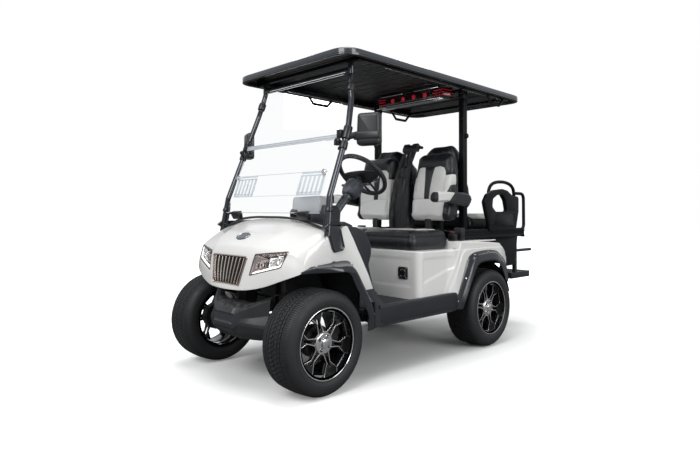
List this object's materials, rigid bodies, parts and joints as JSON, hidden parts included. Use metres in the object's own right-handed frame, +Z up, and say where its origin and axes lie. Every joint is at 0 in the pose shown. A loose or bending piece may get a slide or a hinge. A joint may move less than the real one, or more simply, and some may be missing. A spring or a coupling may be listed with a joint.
{
  "type": "golf cart",
  "caption": "Electric golf cart with front bench, rear-facing bench, canopy roof, clear windshield and alloy wheels that roll and steer.",
  "frame": {"origin": "on the ground under the middle of the cart's length and width", "axes": "+Z up, +Y towards the rear, +X towards the driver's side (the cart's left)"},
  "size_m": [1.4132, 2.9539, 2.02],
  "materials": {
    "body_white": "gloss painted shell",
    "black_moulding": "fine grained moulding",
    "charcoal_moulding": "grained moulding",
    "frame_steel": "satin black paint",
    "post_steel": "gloss black paint",
    "cast_dark": "cast",
    "battery_case": "moulded case",
    "grille_chrome": "dark warm chrome",
    "lamp_clear": "reflector behind a clear lens",
    "clear_pane": "clear",
    "seat_leather": "black seat cover with light panels",
    "belt_webbing": "woven webbing",
    "roof_gloss": "gloss dark blue-grey",
    "wheel_rubber": "grained grip",
    "rim_alloy": "black with machined edges",
    "tyre_rubber": "road tyre"
  },
  "bodies": {
    "cart": {"chassis_frame": "frame_steel", "front_axle": "frame_steel", "rear_axle": "cast_dark", "battery_pack": "battery_case", "floor_pan": "black_moulding", "cowl": "body_white", "grille": "grille_chrome", "headlights": "lamp_clear", "front_bumper": "black_moulding", "fender_flares": "black_moulding", "leg_guards": "charcoal_moulding", "dashboard": "charcoal_moulding", "front_pillars": "post_steel", "windshield": "clear_pane", "mirrors": "black_moulding", "steering_column": "black_moulding", "body_tub": "body_white", "front_cushion": "seat_leather", "front_seatbacks": "seat_leather", "seat_divider": "seat_leather", "front_belts": "belt_webbing", "rear_seatbacks": "seat_leather", "rear_pillars": "post_steel", "roof": "roof_gloss", "roof_rails": "post_steel", "sound_bar": "black_moulding", "deck_frame": "frame_steel", "rear_armrests": "black_moulding", "footplate": "frame_steel", "rear_valance": "black_moulding"},
    "steer_knuckle_left": {"knuckle_left": "cast_dark"},
    "steer_knuckle_right": {"knuckle_right": "cast_dark"},
    "wheel_front_left": {"rim_front_left": "rim_alloy", "tyre_front_left": "tyre_rubber"},
    "wheel_front_right": {"rim_front_right": "rim_alloy", "tyre_front_right": "tyre_rubber"},
    "wheel_rear_left": {"rim_rear_left": "rim_alloy", "tyre_rear_left": "tyre_rubber"},
    "wheel_rear_right": {"rim_rear_right": "rim_alloy", "tyre_rear_right": "tyre_rubber"},
    "steering_wheel_body": {"steering_wheel": "wheel_rubber"},
    "armrest_left_body": {"armrest_left": "seat_leather"},
    "armrest_right_body": {"armrest_right": "seat_leather"},
    "rear_cushion_body": {"rear_cushion": "seat_leather"}
  },
  "joints": [
    {"name": "steer_left", "type": "hinge", "parent": "cart", "child": "steer_knuckle_left", "pos_m": [0.43, -1.185, 0.292], "axis": [0, 0, 1], "range_deg": [-28, 28]},
    {"name": "steer_right", "type": "hinge", "parent": "cart", "child": "steer_knuckle_right", "pos_m": [-0.43, -1.185, 0.292], "axis": [0, 0, 1], "range_deg": [-28, 28]},
    {"name": "steering_wheel_turn", "type": "hinge", "parent": "cart", "child": "steering_wheel_body", "pos_m": [0.3, -0.584, 1.257], "axis": [0, 0.682, 0.7314], "range_deg": [-336, 336]},
    {"name": "spin_front_left", "type": "hinge", "parent": "steer_knuckle_left", "child": "wheel_front_left", "pos_m": [0.52, -1.185, 0.292], "axis": [1, 0, 0], "continuous": true},
    {"name": "spin_front_right", "type": "hinge", "parent": "steer_knuckle_right", "child": "wheel_front_right", "pos_m": [-0.52, -1.185, 0.292], "axis": [1, 0, 0], "continuous": true},
    {"name": "spin_rear_left", "type": "hinge", "parent": "cart", "child": "wheel_rear_left", "pos_m": [0.52, 0.485, 0.292], "axis": [1, 0, 0], "continuous": true},
    {"name": "spin_rear_right", "type": "hinge", "parent": "cart", "child": "wheel_rear_right", "pos_m": [-0.52, 0.485, 0.292], "axis": [1, 0, 0], "continuous": true},
    {"name": "armrest_left_lift", "type": "hinge", "parent": "cart", "child": "armrest_left_body", "pos_m": [0.534, 0.255, 1.104], "axis": [-1, 0, 0], "range_deg": [0, 95]},
    {"name": "armrest_right_lift", "type": "hinge", "parent": "cart", "child": "armrest_right_body", "pos_m": [-0.534, 0.255, 1.104], "axis": [-1, 0, 0], "range_deg": [0, 95]},
    {"name": "rear_cushion_flip", "type": "hinge", "parent": "cart", "child": "rear_cushion_body", "pos_m": [0, 1.193, 0.874], "axis": [-1, 0, 0], "range_deg": [0, 180]}
  ],
  "couplings": [
    {"joint": "steer_right", "follows": "steer_left", "ratio": 1},
    {"joint": "steering_wheel_turn", "follows": "steer_left", "ratio": 12}
  ]
}
